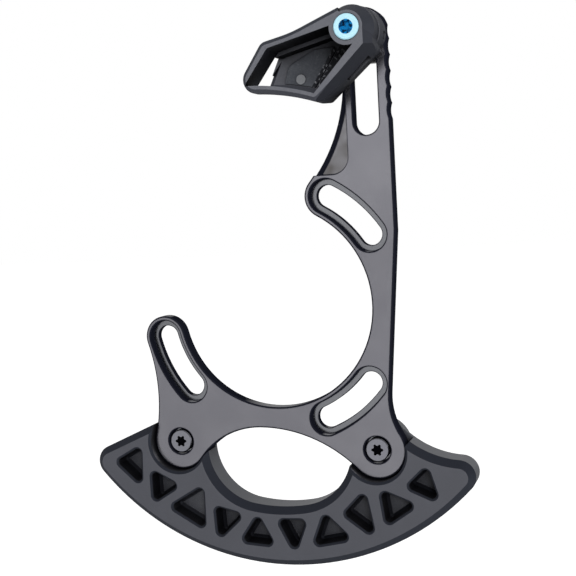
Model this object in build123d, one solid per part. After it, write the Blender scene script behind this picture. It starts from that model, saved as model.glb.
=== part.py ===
from build123d import *
import math
import os

# Chain guide with bash guard for a bicycle's bottom bracket. Millimetres.
# It is drawn flat: x to the right, y up, and height measured from the plate's back face, which is bolted
# to the frame, towards the drive side. The origin is the bottom bracket's axis on that face.
# standing() then turns it upright: x right, z up, drive side towards -y.

# Backplate
plate_thickness = 4.5
plate_chamfer = 0.4
opening_radius = 30.1
slot_circle_radius = 36.5
slot_width = 6.5
slot_counterbore_width = 10.05
slot_ledge_depth = 2.5
slot_mid_angles = (47.2, 206.8, 307.4)
slot_half_span = 13.5
lip_chamfer = 0.3
tab_radius = slot_circle_radius - opening_radius

# Place of the upper guide: its low edge follows the chainring, and its bolt stands above that edge
guide_low_radius = 61.2
guide_y = guide_low_radius + 15.4

# Arm that carries the guide
arm_x = 31.0
arm_half_width = 7.0
arm_slot_width = 7.5
arm_slot_bottom = 52.3
arm_slot_top = guide_y + 0.8
foot_blend_top = 66.0
index_pitch = 4.53
index_seats = 6
index_radius = 6.0
index_depth = 0.44
index_offset = 0.26
shoulder_height = 21.0
edge_lean = 4.8

# Lowered ledge and bevel on the arm's foot
ledge_depth = 1.0
ledge_margin = 1.2
ledge_bottom = 37.9
ledge_corner_radius = 5.0
foot_bevel = 2.0

# Ears that carry the bash guard
ear_left = (-32.4, -40.8)
ear_right = (29.6, -42.5)
ear_radius = 8.5
arch_top = (-6.2, -36.3)
left_blend_radius = 54.0
right_blend_radius = 20.0

# Screws
screw_diameter = 4.0
screw_fit = 0.1
screw_hole = 4.4
head_diameter = 7.0
head_height = 2.6
head_chamfer = 0.3
head_gap = 0.5
socket_depth = 1.7
bash_socket_radius = 1.8
guide_socket_radius = 1.95
star_points = 6
star_lobe = 0.23
star_waist = 1.25

# Bash guard
bash_radius = 77.6
bash_front = 7.85
bash_seat = 3.0
bash_bevel_front = 2.0
bash_bevel_back = 1.8
shortest_rim = 1.2
ear_clearance = 6.0
nest_gap = 0.4
nest_rim = 0.7
seat_radius = 9.0
wing_start = (-38.5, -34.4)
wing_slope = 23.8
wing_tip_radius = 5.0
horn_start = (35.1, -35.3)
horn_arc_center = (55.5, -17.9)
horn_tip_radius = 4.8
horn_notch = (39.85, -39.25)
horn_notch_angle = 44.6
horn_notch_size = (12.0, 9.0)
lens_radius = 47.6
lens_center = (-0.4, -12.2)
lens_corner_radius = 17.3
lens_half_width = 22.5

# Triangular pockets of the bash guard. Each has three corners, given as the distance inside or outside
# the row's radius and the angle about the row's centre.
pocket_center = (0.3, -4.6)
pocket_row_radius = 63.0
pocket_corner_radius = 1.9
pocket_rim = 0.6
pocket_wall_depth = 4.2
pocket_draft = 6.0
pocket_floor_depth = 1.2
pocket_floor_draft = 30.0
pocket_corners = (
    ((5.2, -141.8), (-4.0, -140.2), (4.0, -133.2)),
    ((-1.6, -132.7), (-3.4, -124.1), (5.4, -127.4)),
    ((-7.1, -116.9), (4.1, -112.2), (3.6, -122.7)),
    ((-3.5, -110.9), (-3.7, -102.7), (4.9, -107.6)),
    ((-4.4, -97.6), (3.5, -92.9), (4.0, -101.2)),
    ((-4.0, -91.1), (-3.8, -83.1), (4.7, -87.1)),
    ((-4.8, -76.9), (3.8, -72.3), (3.6, -81.6)),
    ((-6.8, -63.2), (4.7, -66.1), (-3.6, -71.4)),
    ((-4.9, -58.2), (3.6, -53.0), (4.0, -61.6)),
    ((-2.0, -43.7), (6.3, -47.6), (-1.8, -51.3)),
)

# Nuts of the bash guard
nut_across_flats = 8.0
nut_flange = 1.6
nut_barrel = 5.6
nut_gap = 0.1

# Upper guide. Heights above the chainring are given from its low edge.
guide_gap = 0.0
guide_back = plate_thickness + guide_gap
guide_parting = 11.5
guide_front = 21.5
guide_outer_chamfer = 1.1
guide_low_left = (-3.2, guide_low_radius - 0.5)
guide_low_right = (21.3, guide_low_radius - 4.0)
guide_right = (37.0, guide_low_radius + 9.6)
guide_right_radius = 2.5
guide_low_corner_radius = 2.2
guide_peak = (28.6, guide_low_radius + 20.85)
guide_waist = (14.9, guide_low_radius + 15.45)
guide_waist_radius = 35.0
guide_top_left = (6.3, guide_low_radius + 13.6)
guide_corner_radius = 3.0
guide_toe_radius = 3.9
front_low_edge = ((21.7, guide_low_radius - 2.7), (34.1, guide_low_radius + 9.3))
front_right_edge = ((35.4, guide_low_radius + 8.8), (35.4, guide_low_radius + 15.8))
wall_lean = 10.0
side_lean = 20.0
inner_draft = 5.0
cutter_size = (150.0, 80.0, 40.0)
hollow_low_left = (-0.9, guide_low_radius - 0.5)
hollow_low_right = (18.7, guide_low_radius - 4.0)
hollow_right = (32.4, guide_low_radius + 10.6)
hollow_top_right = (26.3, guide_low_radius + 16.15)
hollow_top_left = (8.25, guide_low_radius + 11.8)
hollow_corner_radius = 1.4
inner_hollow_drop = 1.1
groove_start = 9.6
groove_end = 18.2
groove_depth = 1.3
groove_rise = 2.4
groove_drop = 1.2
notch_place = (38.1, guide_low_radius + 14.3)
notch_size = (1.8, 2.2, 2.6)
notch_rise = 0.4
entry_low = (3.2, guide_low_radius + 3.3)
entry_top = (6.8, guide_low_radius + 11.2)
boss_head_gap = 0.15
window_low_radius = guide_low_radius + 2.1
window_rim_radius = 4.85
boss_front_radius = 4.45
boss_radius = 6.6
boss_cone = 5.0
inner_boss_radius = 7.0
guide_head_proud = 0.5
lip_thickness = 4.0
floor_thickness = 2.0
floor_low_radius = guide_low_radius + 1.7
floor_low_chamfer = 1.9
floor_left_chamfer = 1.3

# Wear pad on the guide's floor
pad_thickness = 0.9
pad_seat = 0.5
pad_gap = 0.1
pad_margin = 0.3
pad_low_left = (8.2, guide_low_radius + 3.0)
pad_low_right = (17.2, guide_low_radius + 1.4)
pad_top_right = (24.6, guide_low_radius + 12.6)
pad_top = (17.4, guide_low_radius + 12.1)
pad_top_left = (9.8, guide_low_radius + 8.2)
pad_corner_radii = (1.0, 4.0, 3.0)
peg = (13.2, guide_low_radius + 4.2)
peg_radius = 1.4
peg_proud = 0.25

# Key and nut in the arm's slot
key_half_width = arm_slot_width / 2 - 0.15
key_length = 1.6
key_height = 1.5
tnut_collar = 2.8
tnut_flange = (11.0, 13.5, 2.0)
tnut_corner_radius = 1.5

# Cuts run past the surfaces that they open by this much, and edges are picked within this height
overcut = 1.0
height_tolerance = 0.01


def standing(shape):
    return Rot(90, 0, 0) * shape


def save(name, shape):
    export_step(standing(shape), "parts/" + name + ".step")


def polar(radius, degrees, center=(0, 0)):
    turn = math.radians(degrees)
    return (center[0] + radius * math.cos(turn), center[1] + radius * math.sin(turn))


def direction(start, end):
    return math.degrees(math.atan2(end[1] - start[1], end[0] - start[0]))


# Arc about a centre from one direction to another, turn +1 anticlockwise and -1 clockwise
def swing(center, radius, start, end, turn):
    size = (end - start) % 360 if turn > 0 else -((start - end) % 360)
    return CenterArc(center, radius, start, size)


# Centre of the arc that touches two circles from outside, on the right of the way from a to b
def blend_center(a, radius_a, b, radius_b, radius):
    span = math.dist(a, b)
    reach_a = radius + radius_a
    reach_b = radius + radius_b
    along = (span**2 + reach_a**2 - reach_b**2) / (2 * span)
    aside = math.sqrt(reach_a**2 - along**2)
    way = direction(a, b)
    return polar(aside, way - 90, polar(along, way, a))


# Face with rounded corners, each given as x, y and radius
def rounded(corners):
    edges = []
    ends = []
    for i, (x, y, radius) in enumerate(corners):
        before = corners[i - 1]
        after = corners[(i + 1) % len(corners)]
        to_before = direction((x, y), before)
        to_after = direction((x, y), after)
        half = abs((to_after - to_before + 180) % 360 - 180) / 2
        if radius == 0:
            ends.append(((x, y), (x, y)))
            continue
        tangent = radius / math.tan(math.radians(half))
        start = polar(tangent, to_before, (x, y))
        end = polar(tangent, to_after, (x, y))
        middle = (to_before + ((to_after - to_before + 180) % 360 - 180) / 2)
        top = polar(radius / math.sin(math.radians(half)) - radius, middle, (x, y))
        edges.append(ThreePointArc(start, top, end))
        ends.append((start, end))
    for i, (start, end) in enumerate(ends):
        if math.dist(ends[i - 1][1], start) > 1e-6:
            edges.append(Line(ends[i - 1][1], start))
    return make_face(edges)


def prism(face, low, high):
    return extrude(Pos(0, 0, low) * face, high - low, dir=(0, 0, 1))


def disc(center, radius):
    return Pos(*center) * Circle(radius)


def rod(center, radius, low, high):
    return prism(disc(center, radius), low, high)


def stadium(x, low_y, high_y, half_width):
    bar = Pos(x, (low_y + high_y) / 2) * Rectangle(2 * half_width, high_y - low_y)
    return bar + disc((x, low_y), half_width) + disc((x, high_y), half_width)


# Curved slot of one width about the bottom bracket's axis
def curved_slot(mid_angle, width):
    path = CenterArc((0, 0), slot_circle_radius, mid_angle - slot_half_span, 2 * slot_half_span)
    return SlotArc(path, width)


# Cut that is wider at its mouth by the rim, from a height downwards
def countersunk(face, top, depth, rim):
    mouth = extrude(Pos(0, 0, top - rim) * face, rim, dir=(0, 0, 1), taper=-45)
    return prism(face, top - depth, top + overcut) + mouth


def level_edges(body, height):
    low = height - height_tolerance
    return body.edges().filter_by_position(Axis.Z, low, height + height_tolerance)


def foot_blend():
    tab = polar(slot_circle_radius, slot_mid_angles[0] + slot_half_span)
    left = arm_x - arm_half_width
    aside = tab[0] - left
    drop = tab[1] - foot_blend_top
    radius = (aside**2 + drop**2 - tab_radius**2) / (2 * (tab_radius - aside))
    return tab, (left - radius, foot_blend_top), radius


# Centre and radius of the arc from the top of the arch, where it is level, to one ear
def arch_half(ear):
    aside = arch_top[0] - ear[0]
    rise = arch_top[1] - ear[1]
    radius = (aside**2 + rise**2 - ear_radius**2) / (2 * (ear_radius + rise))
    return (arch_top[0], arch_top[1] - radius), radius


def plate_outline():
    left = arm_x - arm_half_width
    right = arm_x + arm_half_width
    upper_angle = slot_mid_angles[0] + slot_half_span
    lower_angle = slot_mid_angles[1] - slot_half_span
    upper_tab, foot_center, foot_radius = foot_blend()
    lower_tab = polar(slot_circle_radius, lower_angle)
    left_center = blend_center(lower_tab, tab_radius, ear_left, ear_radius, left_blend_radius)
    left_arch, left_arch_radius = arch_half(ear_left)
    right_arch, right_arch_radius = arch_half(ear_right)
    down = -90 - edge_lean
    shoulder = (right, shoulder_height)
    from_shoulder = (ear_right[0] - right, ear_right[1] - shoulder_height)
    lean = math.radians(edge_lean)
    inset = from_shoulder[0] * math.cos(lean) - from_shoulder[1] * math.sin(lean)
    run = -from_shoulder[0] * math.sin(lean) - from_shoulder[1] * math.cos(lean)
    run -= math.sqrt((right_blend_radius + ear_radius) ** 2 - (right_blend_radius - inset) ** 2)
    right_end = polar(run, down, shoulder)
    right_center = polar(right_blend_radius, -edge_lean, right_end)
    foot_end = direction(foot_center, upper_tab)
    edges = [
        CenterArc((arm_x, arm_slot_top), arm_half_width, 0, 180),
        Line((left, arm_slot_top), (left, foot_blend_top)),
        swing(foot_center, foot_radius, 0, foot_end, -1),
        swing(upper_tab, tab_radius, foot_end + 180, upper_angle + 180, 1),
        swing((0, 0), opening_radius, upper_angle, lower_angle, -1),
        swing(lower_tab, tab_radius, lower_angle - 180, direction(lower_tab, left_center), 1),
        swing(left_center, left_blend_radius, direction(left_center, lower_tab),
              direction(left_center, ear_left), -1),
        swing(ear_left, ear_radius, direction(ear_left, left_center),
              direction(ear_left, left_arch), 1),
        swing(left_arch, left_arch_radius, direction(left_arch, ear_left), 90, -1),
        swing(right_arch, right_arch_radius, 90, direction(right_arch, ear_right), -1),
        swing(ear_right, ear_radius, direction(ear_right, right_arch),
              direction(ear_right, right_center), 1),
        swing(right_center, right_blend_radius, direction(right_center, ear_right),
              180 - edge_lean, -1),
        Line(right_end, shoulder),
        Line(shoulder, (right, arm_slot_top)),
    ]
    return make_face(edges)


# Round seats along the arm's right edge, one for each height of the guide, with chamfered rims
def index_seat(number):
    x = arm_x + arm_half_width + index_radius - index_depth
    y = arm_slot_top + index_offset - number * index_pitch
    wide = index_radius + plate_chamfer
    low_cone = Pos(x, y, plate_chamfer / 2) * Cone(wide, index_radius, plate_chamfer)
    high_cone = Pos(x, y, plate_thickness - plate_chamfer / 2) * Cone(index_radius, wide, plate_chamfer)
    return rod((x, y), index_radius, 0, plate_thickness) + low_cone + high_cone


def ledge_region():
    right = arm_x - arm_half_width + ledge_margin
    far_left = 0
    return rounded([
        (far_left, foot_blend_top, 0),
        (far_left, ledge_bottom, 0),
        (right, ledge_bottom, ledge_corner_radius),
        (right, foot_blend_top, ledge_margin),
    ])


def foot_bevel_cone():
    tab, center, radius = foot_blend()
    floor = plate_thickness - ledge_depth
    return Pos(*center, floor - foot_bevel) * Cone(
        radius, radius + foot_bevel, foot_bevel, align=(Align.CENTER, Align.CENTER, Align.MIN)
    )


def make_backplate():
    plate = prism(plate_outline(), 0, plate_thickness)
    plate = chamfer(level_edges(plate, plate_thickness) + level_edges(plate, 0), plate_chamfer)
    for i in range(index_seats):
        plate -= index_seat(i)
    for angle in slot_mid_angles:
        plate -= prism(curved_slot(angle, slot_width), -overcut, plate_thickness)
        plate -= countersunk(curved_slot(angle, slot_counterbore_width), plate_thickness,
                             slot_ledge_depth, lip_chamfer)
    arm_slot = stadium(arm_x, arm_slot_bottom, arm_slot_top, arm_slot_width / 2)
    plate -= countersunk(arm_slot, plate_thickness, plate_thickness + overcut, lip_chamfer)
    for ear in (ear_left, ear_right):
        plate -= rod(ear, screw_hole / 2, -overcut, plate_thickness)
        plate -= countersunk(disc(ear, head_diameter / 2 + head_gap), plate_thickness,
                             head_height, lip_chamfer)
    plate -= prism(ledge_region(), plate_thickness - ledge_depth, plate_thickness + overcut)
    bevel = foot_bevel_cone() & prism(ledge_region(), 0, plate_thickness)
    return plate - bevel


# Star-shaped socket with six lobes
def star(radius):
    lobe = star_lobe * radius
    middle = radius - lobe
    face = Circle(middle)
    step = 360 / star_points
    for i in range(star_points):
        face += disc(polar(middle, step * i), lobe)
        face -= disc(polar(radius, step * (i + 0.5)), star_waist * lobe)
    return face


def make_screw(center, head_top, end, socket_radius):
    bottom = head_top - head_height
    head = rod(center, head_diameter / 2, bottom, head_top)
    rim = head.edges().filter_by(GeomType.CIRCLE).sort_by(Axis.Z)[-1]
    head = chamfer(rim, head_chamfer)
    head -= prism(Pos(*center) * star(socket_radius), head_top - socket_depth, head_top + overcut)
    return head + rod(center, screw_diameter / 2, end, bottom)


def bash_blank():
    wing_far = polar(bash_radius, 180 + wing_slope, wing_start)
    horn_radius = math.dist(horn_start, horn_arc_center)
    horn_far = polar(horn_radius, -90, horn_arc_center)
    arc_start = direction(horn_arc_center, horn_start)
    below = -bash_radius - overcut
    beyond = bash_radius + overcut
    edges = [
        Line(ear_left, wing_start),
        Line(wing_start, wing_far),
        Line(wing_far, (wing_far[0], below)),
        Line((wing_far[0], below), (beyond, below)),
        Line((beyond, below), (beyond, horn_far[1])),
        Line((beyond, horn_far[1]), horn_far),
        swing(horn_arc_center, horn_radius, -90, arc_start, -1),
        Line(horn_start, ear_right),
        Line(ear_right, ear_left),
    ]
    blank = prism(make_face(edges), -bash_seat, bash_front)
    blank &= rod((0, 0), bash_radius, -bash_seat, bash_front)
    blank = fillet(blank.edges().filter_by(Axis.Z).sort_by(Axis.X)[0], wing_tip_radius)
    return fillet(blank.edges().filter_by(Axis.Z).sort_by(Axis.X)[-1], horn_tip_radius)


# Opening between the ears: a low arc, a corner arc on each side and an open top
def lens_cutter():
    reach = lens_radius - lens_corner_radius
    aside = lens_half_width - lens_corner_radius
    turn = math.degrees(math.asin(aside / reach))
    left = polar(reach, -90 - turn, lens_center)
    right = polar(reach, -90 + turn, lens_center)
    left_wall = lens_center[0] - lens_half_width
    right_wall = lens_center[0] + lens_half_width
    edges = [
        swing(left, lens_corner_radius, 180, 270 - turn, 1),
        swing(lens_center, lens_radius, 270 - turn, 270 + turn, 1),
        swing(right, lens_corner_radius, 270 + turn, 360, 1),
        Line((right_wall, right[1]), (right_wall, 0)),
        Line((right_wall, 0), (left_wall, 0)),
        Line((left_wall, 0), (left_wall, left[1])),
    ]
    return prism(make_face(edges), -bash_seat - overcut, bash_front + overcut)


# Rounded triangle whose round corners reach the given points, made smaller all round by the inset
def pocket_face(corners, inset):
    points = [polar(pocket_row_radius + out, angle, pocket_center) for out, angle in corners]
    middle = (sum(x for x, y in points) / 3, sum(y for x, y in points) / 3)
    radius = pocket_corner_radius - inset
    sharp = []
    for point in points:
        sharp.append(polar(pocket_corner_radius, direction(point, middle), point))
    return rounded_about(sharp, radius)


def rounded_about(centers, radius):
    edges = []
    ends = []
    count = len(centers)
    turn = sum(a[0] * b[1] - a[1] * b[0] for a, b in zip(centers, centers[1:] + centers[:1]))
    if turn < 0:
        centers = centers[::-1]
    for i, center in enumerate(centers):
        into = direction(centers[i - 1], center)
        out_of = direction(center, centers[(i + 1) % count])
        edges.append(swing(center, radius, into - 90, out_of - 90, 1))
        ends.append((polar(radius, into - 90, center), polar(radius, out_of - 90, center)))
    for i in range(count):
        edges.append(Line(ends[i - 1][1], ends[i][0]))
    return make_face(edges)


def pocket(corners):
    lip = bash_front - pocket_rim
    shoulder = lip - pocket_wall_depth
    wall_inset = pocket_rim + pocket_wall_depth * math.tan(math.radians(pocket_draft))
    top = pocket_face(corners, pocket_rim)
    mouth = extrude(Pos(0, 0, lip) * top, pocket_rim, dir=(0, 0, 1), taper=-45)
    walls = extrude(Pos(0, 0, lip) * top, pocket_wall_depth, dir=(0, 0, -1), taper=pocket_draft)
    low = Pos(0, 0, shoulder) * pocket_face(corners, wall_inset)
    floor = extrude(low, pocket_floor_depth, dir=(0, 0, -1), taper=pocket_floor_draft)
    return mouth + walls + floor


# Rims of the bash guard at one height, without the short ones beside the ears
def open_rims(body, height):
    ears = (ear_left, ear_right)
    return [
        rim for rim in level_edges(body, height)
        if rim.length > shortest_rim
        and min(math.dist(tuple(rim.center())[:2], ear) for ear in ears) > ear_clearance
    ]


def make_bash_guard():
    body = bash_blank() - lens_cutter()
    body = chamfer(open_rims(body, bash_front), bash_bevel_front)
    body = chamfer(open_rims(body, -bash_seat), bash_bevel_back)
    for ear in (ear_left, ear_right):
        body += rod(ear, seat_radius, -bash_seat, 0)
    nest = offset(plate_outline(), nest_gap)
    body -= countersunk(nest, bash_front, bash_front, nest_rim)
    notch = Pos(*horn_notch, 0) * Rot(0, 0, horn_notch_angle)
    body -= notch * Box(*horn_notch_size, bash_front + overcut, align=(Align.CENTER, Align.MIN, Align.MIN))
    for ear in (ear_left, ear_right):
        body -= rod(ear, nut_barrel / 2 + nut_gap, -bash_seat - overcut, overcut)
        body -= prism(hexagon(ear, nut_across_flats + 2 * nut_gap), -bash_seat - overcut,
                      -bash_seat + nut_flange)
    for corners in pocket_corners:
        body -= pocket(corners)
    return body


def hexagon(center, across_flats):
    return Pos(*center) * RegularPolygon(across_flats / 2, 6, major_radius=False)


def make_bash_nut(center):
    nut = prism(hexagon(center, nut_across_flats), -bash_seat, -bash_seat + nut_flange)
    nut += rod(center, nut_barrel / 2, -bash_seat, -nut_gap)
    return nut - rod(center, screw_diameter / 2 + screw_fit / 2, -bash_seat - overcut, overcut)


boss = (arm_x, guide_y)

# Everything on the outer side of a plane that leans from a line at one height
def slope_cutter(start, end, height, lean):
    way = math.radians(direction(start, end) - 90)
    lean = math.radians(lean)
    outward = (math.cos(way) * math.cos(lean), math.sin(way) * math.cos(lean), math.sin(lean))
    face = Plane(origin=(*start, height), x_dir=(end[0] - start[0], end[1] - start[1], 0),
                 z_dir=outward)
    return Location(face) * Box(*cutter_size, align=(Align.CENTER, Align.CENTER, Align.MIN))


def guide_blank(low, high):
    face = rounded([
        (*guide_low_left, 0),
        (*guide_low_right, 0),
        (*guide_right, guide_right_radius),
        (guide_right[0], guide_y, 0),
        (*boss, 0),
        (*guide_peak, 0),
        (*guide_waist, guide_waist_radius),
        (*guide_top_left, guide_corner_radius),
    ])
    blank = prism(face, low, high) - rod((0, 0), guide_low_radius, low - overcut, high + overcut)
    blank = fillet(blank.edges().filter_by(Axis.Z).sort_by(Axis.X)[0], guide_toe_radius)
    return fillet(blank.edges().filter_by(Axis.Z).sort_by(Axis.Y)[0], guide_low_corner_radius)


# Hollow between the guide's walls, open below. Its top wall comes down by the drop.
def guide_hollow(drop):
    face = rounded([
        (*hollow_low_left, 0),
        (*hollow_low_right, 0),
        (*hollow_right, 0),
        (*boss, 0),
        (hollow_top_right[0], hollow_top_right[1] - drop, 0),
        (hollow_top_left[0], hollow_top_left[1] - drop, hollow_corner_radius),
    ])
    return face - disc(boss, window_rim_radius)


# Groove along the lower right wall, across the parting face
def wall_groove():
    way = direction(guide_low_right, guide_right)
    start = polar(groove_start, way, guide_low_right)
    size = (groove_end - groove_start, 2 * groove_depth, groove_rise + groove_drop)
    bar = Box(*size, align=(Align.MIN, Align.CENTER, Align.MIN))
    return Pos(*start, guide_parting - groove_drop) * Rot(0, 0, way) * bar


def make_guide_outer_half():
    body = guide_blank(guide_parting, guide_front)
    rims = [rim for rim in level_edges(body, guide_front) if rim.center().X < guide_peak[0]]
    body = chamfer(rims, guide_outer_chamfer)
    body -= slope_cutter(*front_low_edge, guide_front, wall_lean)
    body -= slope_cutter(*front_right_edge, guide_front, side_lean)
    cone = Pos(*boss, guide_front - boss_cone) * Cone(
        boss_radius, boss_front_radius, boss_cone, align=(Align.CENTER, Align.CENTER, Align.MIN)
    )
    body += rod(boss, boss_radius, guide_parting, guide_front - boss_cone) + cone
    body -= wall_groove()
    hollow = prism(guide_hollow(0), guide_parting - overcut, guide_front + overcut)
    lip = rod((0, 0), window_low_radius, guide_front - lip_thickness, guide_front + 2 * overcut)
    body -= hollow - lip
    head_seat = guide_front + guide_head_proud - head_height
    body -= rod(boss, screw_hole / 2, guide_parting - overcut, head_seat)
    return body - rod(boss, head_diameter / 2 + boss_head_gap, head_seat, guide_front + overcut)


# Left part of the inner half's wall, which is open for the chain above the floor
def entry_side():
    top = hollow_top_left[1] - inner_hollow_drop
    corners = (entry_low, (hollow_top_left[0], top), (entry_low[0], top))
    return make_face(Polyline(*corners, close=True))


def make_guide_inner_half():
    height = guide_parting - guide_back
    outline = guide_blank(guide_back, guide_parting).faces().sort_by(Axis.Z)[-1]
    body = extrude(outline, height, dir=(0, 0, -1), taper=inner_draft)
    body -= wall_groove()
    body += rod(boss, inner_boss_radius, guide_back, guide_parting)
    body -= Pos(*notch_place, guide_back + notch_rise) * Box(
        *notch_size, align=(Align.CENTER, Align.CENTER, Align.MIN)
    )
    floor = guide_back + floor_thickness
    hollow = guide_hollow(inner_hollow_drop)
    body -= prism(hollow, floor, guide_parting + overcut)
    low = prism(hollow, guide_back - overcut, floor + overcut)
    low &= rod((0, 0), floor_low_radius, 0, guide_front)
    bevel = Pos(0, 0, floor - floor_low_chamfer) * Cone(
        floor_low_radius, floor_low_radius + floor_low_chamfer, floor_low_chamfer,
        align=(Align.CENTER, Align.CENTER, Align.MIN)
    )
    body -= low + (prism(hollow, guide_back, floor) & bevel)
    body -= slope_cutter(entry_top, entry_low, floor, 0)
    body -= prism(entry_side(), floor, guide_parting + overcut)
    bevel = slope_cutter(entry_top, entry_low, floor - floor_left_chamfer, 45)
    body -= bevel & prism(hollow, guide_back, floor)
    body -= prism(offset(pad_outline(), pad_gap), floor - pad_seat, floor + overcut)
    key = stadium(arm_x, guide_y - key_length, guide_y, key_half_width)
    body += prism(key, guide_back - key_height, guide_back)
    return body - rod(boss, screw_hole / 2, 0, guide_parting + overcut)


def pad_outline():
    face = rounded([
        (*pad_low_left, 0),
        (*pad_low_right, 0),
        (*pad_top_right, pad_corner_radii[0]),
        (*pad_top, pad_corner_radii[1]),
        (*pad_top_left, pad_corner_radii[2]),
    ])
    return face - disc((0, 0), floor_low_radius + floor_low_chamfer + pad_margin)


def make_wear_pad():
    low = guide_back + floor_thickness - pad_seat
    pad = prism(pad_outline(), low, low + pad_thickness)
    return pad + rod(peg, peg_radius, low, low + pad_thickness + peg_proud)


def make_t_nut():
    collar = stadium(arm_x, guide_y - key_length, guide_y, key_half_width)
    width, length, height = tnut_flange
    flange = Pos(arm_x, guide_y - key_length / 2) * RectangleRounded(width, length, tnut_corner_radius)
    nut = prism(flange, -height, 0) + prism(collar, 0, tnut_collar)
    return nut - rod(boss, screw_diameter / 2 + screw_fit / 2, -height - overcut, tnut_collar + overcut)


os.makedirs("parts", exist_ok=True)
save("backplate", make_backplate())
save("bash_guard", make_bash_guard())
for side, ear in (("left", ear_left), ("right", ear_right)):
    save("bash_bolt_" + side, make_screw(ear, plate_thickness, -bash_seat, bash_socket_radius))
    save("bash_nut_" + side, make_bash_nut(ear))
save("guide_outer_half", make_guide_outer_half())
save("guide_inner_half", make_guide_inner_half())
save("guide_wear_pad", make_wear_pad())
save("guide_bolt", make_screw(boss, guide_front + guide_head_proud, -tnut_flange[2], guide_socket_radius))
save("guide_t_nut", make_t_nut())
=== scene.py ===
import math
import bpy
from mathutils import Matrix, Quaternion, Vector


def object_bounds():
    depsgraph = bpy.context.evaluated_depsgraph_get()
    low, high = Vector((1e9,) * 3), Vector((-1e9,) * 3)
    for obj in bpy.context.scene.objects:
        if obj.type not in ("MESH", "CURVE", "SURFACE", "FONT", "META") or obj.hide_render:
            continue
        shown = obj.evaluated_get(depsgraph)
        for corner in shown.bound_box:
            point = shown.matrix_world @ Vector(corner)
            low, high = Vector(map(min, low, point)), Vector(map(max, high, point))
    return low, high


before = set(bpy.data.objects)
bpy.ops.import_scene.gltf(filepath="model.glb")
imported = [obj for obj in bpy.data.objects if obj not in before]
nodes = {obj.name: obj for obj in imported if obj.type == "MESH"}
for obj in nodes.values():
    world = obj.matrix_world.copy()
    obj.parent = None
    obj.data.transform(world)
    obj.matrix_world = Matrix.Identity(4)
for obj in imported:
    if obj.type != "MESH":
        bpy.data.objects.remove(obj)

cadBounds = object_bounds()
mm = 0.001
white = (1, 1, 1, 1)


class Field:  # a node's output that sums can be written with
    def __init__(self, sheet, socket):
        self.sheet = sheet
        self.socket = socket

    def join(self, operation, other, swapped=False):
        pair = (other, self) if swapped else (self, other)
        return self.sheet.node("ShaderNodeMath", {"operation": operation}, pair)

    def __add__(self, other):
        return self.join("ADD", other)

    def __radd__(self, other):
        return self.join("ADD", other, True)

    def __sub__(self, other):
        return self.join("SUBTRACT", other)

    def __rsub__(self, other):
        return self.join("SUBTRACT", other, True)

    def __mul__(self, other):
        return self.join("MULTIPLY", other)

    def __rmul__(self, other):
        return self.join("MULTIPLY", other, True)

    def __pow__(self, other):
        return self.join("POWER", other)


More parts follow.
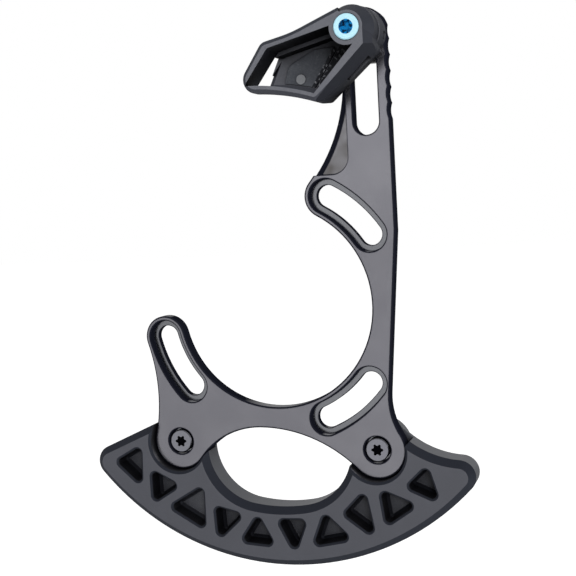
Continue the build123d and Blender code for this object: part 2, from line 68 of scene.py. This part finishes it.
class Sheet:  # the node tree of one material or of the world
    def __init__(self, owner, end="ShaderNodeOutputMaterial"):
        self.owner = owner
        self.end = end
        owner.use_nodes = True
        self.tree = owner.node_tree
        self.tree.nodes.clear()

    def node(self, kind, settings=None, inputs=None, output=0):
        made = self.tree.nodes.new(kind)
        for key, value in (settings or {}).items():
            setattr(made, key, value)
        named = inputs.items() if isinstance(inputs, dict) else enumerate(inputs or ())
        for key, value in named:
            if isinstance(value, Field):
                self.tree.links.new(value.socket, made.inputs[key])
            else:
                made.inputs[key].default_value = value
        return Field(self, made.outputs[output]) if made.outputs else None

    def place(self):
        return self.node("ShaderNodeTexCoord", output="Object")

    def way(self):  # where the surface looks to
        return self.node("ShaderNodeTexCoord", output="Normal")

    def part(self, vector, axis):
        return self.node("ShaderNodeSeparateXYZ", {}, (vector,), output=axis)

    def noise(self, size, detail, rough=0.5):  # size in metres
        inputs = {"Vector": self.place(), "Scale": 1 / size, "Detail": detail, "Roughness": rough}
        return self.node("ShaderNodeTexNoise", {}, inputs)

    def between(self, value, span):  # 0 at the span's first value, 1 at its second, kept inside
        return self.node("ShaderNodeMapRange", {}, (value, *span, 0.0, 1.0))

    def blend(self, amount, first, second):  # colours
        settings = {"data_type": "RGBA"}
        return self.node("ShaderNodeMix", settings, {0: amount, 6: first, 7: second}, output=2)

    def height(self):  # above the plate's back face, towards the drive side, in metres
        return self.part(self.place(), "Y") * -1

    def front(self):  # 1 on faces that look to the drive side, -1 on those that look to the frame
        return self.part(self.way(), "Y") * -1

    def facing(self):  # 1 on faces that look to the front or the back, 0 on walls
        return self.node("ShaderNodeMath", {"operation": "ABSOLUTE"}, (self.part(self.way(), "Y"),))

    def up(self):  # 1 on surfaces that look up, -1 on those that look down
        return self.part(self.way(), "Z")

    def openness(self, reach):  # 1 on open surfaces, towards 0 in deep corners and pockets
        settings = {"samples": 8}
        return self.node("ShaderNodeAmbientOcclusion", settings, {"Distance": reach}, output="AO")

    def flatness(self, reach):  # 1 away from edges, less within reach of one
        rounded = self.node("ShaderNodeBevel", {"samples": 8}, {"Radius": reach})
        sharp = self.node("ShaderNodeNewGeometry", output="Normal")
        settings = {"operation": "DOT_PRODUCT"}
        return self.node("ShaderNodeVectorMath", settings, (rounded, sharp), output=1)

    def softEdge(self, width):
        return self.node("ShaderNodeBevel", {"samples": 6}, {"Radius": width})

    def bump(self, height, depth, normal=None):
        inputs = {"Height": height, "Distance": depth}
        if normal:
            inputs["Normal"] = normal
        return self.node("ShaderNodeBump", {}, inputs)

    def surface(self, **inputs):
        named = {key.replace("_", " "): value for key, value in inputs.items()}
        return self.node("ShaderNodeBsdfPrincipled", {}, named)

    def mix(self, amount, first, second):  # shaders
        return self.node("ShaderNodeMixShader", {}, (amount, first, second))

    def rays(self, *kinds):  # 1 for rays of any of these kinds
        paths = [self.node("ShaderNodeLightPath", output=kind) for kind in kinds]
        seen = paths[0]
        for path in paths[1:]:
            seen = seen.join("MAXIMUM", path)
        return seen

    def show(self, shader):
        self.node(self.end, {}, {"Surface": shader})
        return self.owner


def newMaterial(name):
    return Sheet(bpy.data.materials.new(name))


blackAnodised = {
    "face": (0.234, 0.232, 0.258, 1),
    "faceClouds": (0.260, 0.258, 0.284, 1),
    "cloudSize": 14 * mm,
    "cloudSpan": (0.38, 0.68),
    # painted reflection: the ledge on the arm's foot gets its own lighter tone and dark clouds for
    # what it mirrors
    "footLedgePaintedReflection": (0.225, 0.222, 0.236, 1),
    "footDarkPaintedReflection": (0.108, 0.102, 0.099, 1),
    "footCloudSize": 9 * mm,
    "footCloudSpan": (0.42, 0.64),
    "footHeights": (3.8 * mm, 3.6 * mm),  # the ledge on the arm's foot is below these
    # painted reflection: the slots' ledges are painted in the tone of what they mirror
    "slotLedgePaintedReflection": (0.235, 0.240, 0.258, 1),
    "slotHeights": (3.2 * mm, 3.0 * mm),  # and the slots' ledges below these
    # painted shade: walls and chamfers are painted near black, standing in for the dark they reflect
    "wall": (0.011, 0.012, 0.019, 1),
    # painted reflection: walls that look up are painted light, as if they mirrored the sky
    "skywardWallPaintedReflection": (0.360, 0.360, 0.375, 1),
    "topWallSpan": (0.93, 0.995),
    # painted shade: a band this wide along every edge gets the dark wall shade as an edge line
    "edgeWidth": 0.60 * mm,
    "flatSpan": (0.955, 0.985),
    "faceSpan": (0.80, 0.96),
    "grainSize": 0.16 * mm,
    "grainDepth": 0.001 * mm,
    "roughness": 0.17,
    "roughnessClouds": 0.06,
    "wallRoughness": 0.40,
}


def makeBlackAnodised():  # metal faces; walls, chamfers and edge lines painted near black as shade, skyward walls painted light as a reflection, ledges painted in the tones of what they mirror
    look = blackAnodised
    sheet = newMaterial("blackAnodised")
    cloud = sheet.noise(look["cloudSize"], 3)
    footCloud = sheet.noise(look["footCloudSize"], 2)
    height = sheet.height()
    face = sheet.blend(sheet.between(cloud, look["cloudSpan"]), look["face"], look["faceClouds"])
    foot = sheet.between(footCloud, look["footCloudSpan"])
    foot = sheet.blend(foot, look["footLedgePaintedReflection"], look["footDarkPaintedReflection"])
    face = sheet.blend(sheet.between(height, look["footHeights"]), face, foot)
    face = sheet.blend(sheet.between(height, look["slotHeights"]), face, look["slotLedgePaintedReflection"])
    normal = sheet.bump(sheet.noise(look["grainSize"], 2), look["grainDepth"])
    roughness = look["roughness"] + look["roughnessClouds"] * cloud
    metal = sheet.surface(Base_Color=face, Normal=normal, Roughness=roughness, Metallic=1.0)
    flat = sheet.between(sheet.flatness(look["edgeWidth"]), look["flatSpan"])
    # painted reflection mask for walls that look up, kept off the edges
    paintedSkyGlint = sheet.between(sheet.up(), look["topWallSpan"]) * flat
    wall = sheet.surface(
        Base_Color=sheet.blend(paintedSkyGlint, look["wall"], look["skywardWallPaintedReflection"]), Normal=normal,
        Roughness=look["wallRoughness"], Specular_IOR_Level=0.0,
    )
    # faces get the metal; walls, chamfers and edge bands get the painted dark wall shade
    level = sheet.between(sheet.facing(), look["faceSpan"]) * flat
    return sheet.show(sheet.mix(level, wall, metal))


nylon = {
    "cloudSize": 7 * mm,
    "cloudSpan": (0.4, 0.8),
    "cloudShare": 0.4,
    "speckSpan": (0.50, 0.72),
    "speckShare": 0.5,
    "wallSpan": (0.70, 0.95),  # how open a wall is, from painted deep shade to the wall's shaded tone
    # painted light: bevels that look down are painted lighter and those that look up darker
    "upSpan": (-0.3, 0.3),
    "bevelSpan": (0.15, 0.65),
    "faceSpan": (0.75, 0.97),
    "levelSpan": (0.97, 0.85),
    "roughness": 0.44,
    "roughnessGrain": 0.12,
    "dullRoughness": 0.6,
    "dullGloss": 0.05,
    # painted shade: the near-black colour for pockets, corners and enclosed walls
    "paintedDeepShade": (0.002, 0.002, 0.003, 1),
    "softEdge": 0.22 * mm,
}

bashNylon = dict(
    nylon,
    # the face, bevel and wall colours are one nylon painted in lit and shaded tones
    face=(0.043, 0.045, 0.056, 1),
    speck=(0.054, 0.056, 0.070, 1),
    bevel=(0.018, 0.020, 0.027, 1),
    lowBevelPaintedLight=(0.027, 0.030, 0.039, 1),
    wall=(0.030, 0.033, 0.043, 1),
    gloss=0.5,
    dullSpan=(0.3, 0.6),
    reach=8 * mm,
    openSpan=(0.06, 0.95),
    grainSize=0.30 * mm,
    grainDepth=0.008 * mm,
    smoothPocketFloorPaintedLight={
        # painted highlight: the floors are painted lighter than the face
        "colour": (0.072, 0.075, 0.087, 1),
        "heights": (3.15 * mm, 2.95 * mm),
        "frontSpan": (0.4, 0.8),
        "openSpan": (0.28, 0.62),
        "smoother": 0.24,
    },
)

guideNylon = dict(
    nylon,
    # the face, bevel and wall colours are one nylon painted in lit and shaded tones
    face=(0.110, 0.113, 0.130, 1),
    speck=(0.155, 0.158, 0.174, 1),
    bevel=(0.036, 0.039, 0.049, 1),
    lowBevelPaintedLight=(0.060, 0.063, 0.076, 1),
    wall=(0.026, 0.028, 0.036, 1),
    gloss=0.14,
    dullSpan=(-0.3, 0.0),
    reach=16 * mm,
    openSpan=(0.12, 0.92),
    grainSize=0.40 * mm,
    grainDepth=0.016 * mm,
)

roughAndShadedStrip = {
    "slope": 0.661,  # of the wear pad's right edge, sideways for each step up
    "start": (-23.9 * mm, -23.7 * mm),
    "end": (34 * mm, 33 * mm),
    "heights": (7.05 * mm, 6.95 * mm),
    "frontSpan": (0.90, 0.98),
    # painted shade: the strip's dark colour, with light flecks on it
    "dark": (0.012, 0.013, 0.017, 1),
    "fleck": (0.260, 0.270, 0.290, 1),
    "fleckSize": 0.9 * mm,
    "fleckSpan": (0.56, 0.62),
}

guideInnerNylon = dict(guideNylon, strip=roughAndShadedStrip)

padNylon = dict(
    guideNylon,
    face=(0.078, 0.084, 0.098, 1),
    speck=(0.165, 0.175, 0.195, 1),
    peg=(0.290, 0.300, 0.318, 1),
    pegHeights=(7.0 * mm, 7.1 * mm),
    strip=dict(roughAndShadedStrip, start=(-25.5 * mm, -25.3 * mm)),
    softEdge=0.15 * mm,
)


def addStrip(sheet, look, face):  # a rough strip along the right edge of the guide's floor and of its pad, painted dark as shade, with light flecks
    across = sheet.part(sheet.place(), "X")
    lean = across - look["slope"] * sheet.part(sheet.place(), "Z")
    strip = sheet.between(lean, look["start"]) * sheet.between(across, look["end"])
    strip = strip * sheet.between(sheet.height(), look["heights"])
    strip = strip * sheet.between(sheet.front(), look["frontSpan"])
    flecks = sheet.between(sheet.noise(look["fleckSize"], 2), look["fleckSpan"])
    return sheet.blend(strip, face, sheet.blend(flecks, look["dark"], look["fleck"]))


def makeNylon(name, look):  # specked faces with a sheen, dull bevels; faces, bevels and walls painted in lit and shaded tones, with painted shade in deep places
    sheet = newMaterial(name)
    cloud = sheet.noise(look["cloudSize"], 4)
    grain = sheet.noise(look["grainSize"], 3, 0.6)
    facing = sheet.facing()
    openness = sheet.openness(look["reach"])
    speck = sheet.between(grain, look["speckSpan"]) * look["speckShare"]
    speck = speck + sheet.between(cloud, look["cloudSpan"]) * look["cloudShare"]
    face = sheet.blend(speck, look["face"], look["speck"])
    if "peg" in look:
        face = sheet.blend(sheet.between(sheet.height(), look["pegHeights"]), face, look["peg"])
    if "strip" in look:
        face = addStrip(sheet, look["strip"], face)
    # painted shade: walls darken towards near black where they are enclosed
    wall = sheet.blend(sheet.between(openness, look["wallSpan"]), look["paintedDeepShade"], look["wall"])
    # painted light and shade: walls, bevels and faces get separate lit and shaded tones
    bevel = sheet.blend(sheet.between(sheet.up(), look["upSpan"]), look["lowBevelPaintedLight"], look["bevel"])
    side = sheet.blend(sheet.between(facing, look["bevelSpan"]), wall, bevel)
    colour = sheet.blend(sheet.between(facing, look["faceSpan"]), side, face)
    # painted shade: everything darkens towards near black in pockets and corners
    seen = sheet.between(openness, look["openSpan"])
    colour = sheet.blend(seen, look["paintedDeepShade"], colour)
    leaning = sheet.between(facing, look["dullSpan"]) * sheet.between(facing, look["levelSpan"])
    shine = seen * (1 - leaning)
    roughness = look["roughness"] + look["roughnessGrain"] * grain
    if "smoothPocketFloorPaintedLight" in look:  # the pockets' floors are smoother than the rest, and painted lighter as a painted highlight
        low = look["smoothPocketFloorPaintedLight"]
        floor = sheet.between(sheet.height(), low["heights"])
        floor = floor * sheet.between(sheet.front(), low["frontSpan"])
        floor = floor * sheet.between(openness, low["openSpan"])
        colour = sheet.blend(floor, colour, low["colour"])
        roughness = roughness - low["smoother"] * floor
        shine = shine + (1 - shine) * floor
    normal = sheet.bump(grain, look["grainDepth"], sheet.softEdge(look["softEdge"]))
    dull = sheet.surface(
        Base_Color=colour, Normal=normal,
        Roughness=look["dullRoughness"], Specular_IOR_Level=look["dullGloss"],
    )
    sheen = sheet.surface(
        Base_Color=colour, Normal=normal, Roughness=roughness, Specular_IOR_Level=look["gloss"],
    )
    return sheet.show(sheet.mix(shine, dull, sheen))


blackSteel = {
    "face": (0.270, 0.273, 0.308, 1),
    # painted shade: the heads' sides and the sockets are painted near black
    "wall": (0.002, 0.002, 0.003, 1),
    "topHeights": (4.0 * mm, 4.2 * mm),  # the heads' tops are above these, the sockets below
    "faceSpan": (0.6, 0.9),
    "grainSize": 0.10 * mm,
    "grainDepth": 0.001 * mm,
    "roughness": 0.20,
    "roughnessGrain": 0.06,
    "wallRoughness": 0.4,
}


def makeBlackSteel():
    look = blackSteel
    sheet = newMaterial("blackSteel")
    grain = sheet.noise(look["grainSize"], 2)
    normal = sheet.bump(grain, look["grainDepth"])
    # the heads' tops get the metal; sides and sockets get the painted dark shade
    top = sheet.between(sheet.height(), look["topHeights"])
    top = top * sheet.between(sheet.facing(), look["faceSpan"])
    roughness = look["roughness"] + look["roughnessGrain"] * grain
    metal = sheet.surface(
        Base_Color=look["face"], Normal=normal, Roughness=roughness, Metallic=1.0,
    )
    wall = sheet.surface(
        Base_Color=look["wall"], Normal=normal,
        Roughness=look["wallRoughness"], Specular_IOR_Level=0.0,
    )
    return sheet.show(sheet.mix(top, wall, metal))


zincSteel = {
    "colour": (0.40, 0.40, 0.39, 1),
    "shade": (0.34, 0.34, 0.33, 1),
    "cloudSize": 1.5 * mm,
    "cloudSpan": (0.3, 0.7),
    "softEdge": 0.08 * mm,
    "grainSize": 0.12 * mm,
    "grainDepth": 0.002 * mm,
    "roughness": 0.34,
    "roughnessClouds": 0.08,
    "metal": 0.9,
}


def makeZincSteel():
    look = zincSteel
    sheet = newMaterial("zincSteel")
    cloud = sheet.noise(look["cloudSize"], 3)
    grain = sheet.noise(look["grainSize"], 2)
    return sheet.show(sheet.surface(
        Base_Color=sheet.blend(sheet.between(cloud, look["cloudSpan"]), look["colour"], look["shade"]),
        Normal=sheet.bump(grain, look["grainDepth"], sheet.softEdge(look["softEdge"])),
        Roughness=look["roughness"] + look["roughnessClouds"] * cloud, Metallic=look["metal"],
    ))


blueAnodised = {
    "ring": (0.45, 0.74, 0.86, 1),
    "ringRoughness": 0.26,
    "ringGloss": 0.5,
    # painted shade: the socket is a darker blue than the ring, with dark flecks
    "socket": (0.003, 0.185, 0.470, 1),
    "socketRoughness": 0.4,
    "socketGloss": 0.08,
    "fleck": (0.001, 0.012, 0.040, 1),
    "fleckSize": 0.9 * mm,
    "fleckSpan": (0.50, 0.62),
    "axis": (31.0 * mm, 76.6 * mm),  # the bolt's x and z
    "socketEdge": (1.9305 * mm, 2.0085 * mm),
    "softEdge": 0.10 * mm,
}


def makeBlueAnodised():  # a bright ring round a socket painted deep blue, with dark flecks, as the socket's shade
    look = blueAnodised
    sheet = newMaterial("blueAnodised")
    aside = sheet.part(sheet.place(), "X") - look["axis"][0]
    above = sheet.part(sheet.place(), "Z") - look["axis"][1]
    away = (aside * aside + above * above) ** 0.5
    flecks = sheet.between(sheet.noise(look["fleckSize"], 2), look["fleckSpan"])
    normal = sheet.softEdge(look["softEdge"])
    socket = sheet.surface(
        Base_Color=sheet.blend(flecks, look["socket"], look["fleck"]), Normal=normal,
        Roughness=look["socketRoughness"], Specular_IOR_Level=look["socketGloss"],
    )
    ring = sheet.surface(
        Base_Color=look["ring"], Normal=normal,
        Roughness=look["ringRoughness"], Specular_IOR_Level=look["ringGloss"],
    )
    return sheet.show(sheet.mix(sheet.between(away, look["socketEdge"]), socket, ring))


def dress(material, *names):
    for name in names:
        nodes[name].data.materials.clear()
        nodes[name].data.materials.append(material)


dress(makeBlackAnodised(), "backplate")
dress(makeNylon("bashNylon", bashNylon), "bash_guard")
dress(makeNylon("guideNylon", guideNylon), "guide_outer_half")
dress(makeNylon("guideInnerNylon", guideInnerNylon), "guide_inner_half")
dress(makeNylon("padNylon", padNylon), "guide_wear_pad")
dress(makeBlackSteel(), "bash_bolt_left", "bash_bolt_right")
dress(makeZincSteel(), "bash_nut_left", "bash_nut_right", "guide_t_nut")
dress(makeBlueAnodised(), "guide_bolt")
print("finishes done")

floorFacts = {
    "below": 0.18,  # under the object, in metres
    "size": 12.0,
    "shade": (0.86, 0.86, 0.86, 1),
    "glow": 0.75,  # for the camera, so that the floor is white
    "mirrored": 0.12,  # the same for what shines on the object
}


def makeFloor():
    look = floorFacts
    bpy.ops.mesh.primitive_plane_add(size=look["size"])
    floor = bpy.context.object
    floor.name = "floor"
    for corner in floor.data.vertices:
        corner.co.z = cadBounds[0][2] - look["below"]
    sheet = newMaterial("floorWhite")
    seen = sheet.rays("Is Camera Ray", "Is Transmission Ray") * look["glow"]
    strength = seen.join("MAXIMUM", sheet.rays("Is Glossy Ray") * look["mirrored"])
    glow = sheet.node("ShaderNodeEmission", {}, {"Color": white, "Strength": strength})
    paper = sheet.node("ShaderNodeBsdfDiffuse", {}, {"Color": look["shade"]})
    floor.data.materials.append(sheet.show(sheet.node("ShaderNodeAddShader", {}, (paper, glow))))


worldLight = {"seen": 1.0, "fill": 0.30}


def makeWorld():  # white behind the object and in its gloss, and a soft fill on it
    world = bpy.data.worlds.new("studio")
    bpy.context.scene.world = world
    sheet = Sheet(world, "ShaderNodeOutputWorld")
    seen, fill = [
        sheet.node("ShaderNodeBackground", {}, {"Color": white, "Strength": worldLight[name]})
        for name in ("seen", "fill")
    ]
    rays = sheet.rays("Is Camera Ray", "Is Glossy Ray", "Is Transmission Ray")
    sheet.show(sheet.mix(rays, fill, seen))


lampList = {
    "key": {"spot": (1.2, -2.8, 0.7), "size": 1.0, "power": 68.0},
    "right": {"spot": (2.8, -0.6, 0.2), "size": 1.2, "power": 13.0},
    "left": {"spot": (-2.4, -1.4, 0.8), "size": 1.2, "power": 14.0},
}


def makeLamps(aim):
    for name, look in lampList.items():
        data = bpy.data.lights.new(name, "AREA")
        data.shape = "SQUARE"
        data.size = look["size"]
        data.energy = look["power"]
        lamp = bpy.data.objects.new(name, data)
        bpy.context.scene.collection.objects.link(lamp)
        lamp.location = look["spot"]
        lamp.rotation_euler = (aim - lamp.location).to_track_quat("-Z", "Y").to_euler()


cameraFacts = {
    "spot": (0.10667, -0.31117, 0.02963),
    "way": (-0.31376, 0.94659, -0.07436),
    "roll": -3.14,  # degrees
    "lens": 68.75,
    "sensor": 36.0,
    "nearest": 0.01,
}


def makeCamera():
    look = cameraFacts
    data = bpy.data.cameras.new("camera")
    data.lens = look["lens"]
    data.sensor_width = look["sensor"]
    data.clip_start = look["nearest"]
    camera = bpy.data.objects.new("camera", data)
    bpy.context.scene.collection.objects.link(camera)
    turn = Vector(look["way"]).to_track_quat("-Z", "Y")
    camera.rotation_mode = "QUATERNION"
    camera.rotation_quaternion = turn @ Quaternion((0, 0, 1), math.radians(look["roll"]))
    camera.location = look["spot"]
    bpy.context.scene.camera = camera


makeFloor()
makeWorld()
makeLamps(Vector((0, 0, 0)))
makeCamera()
bpy.context.scene.view_settings.view_transform = "Standard"
print("stage done")
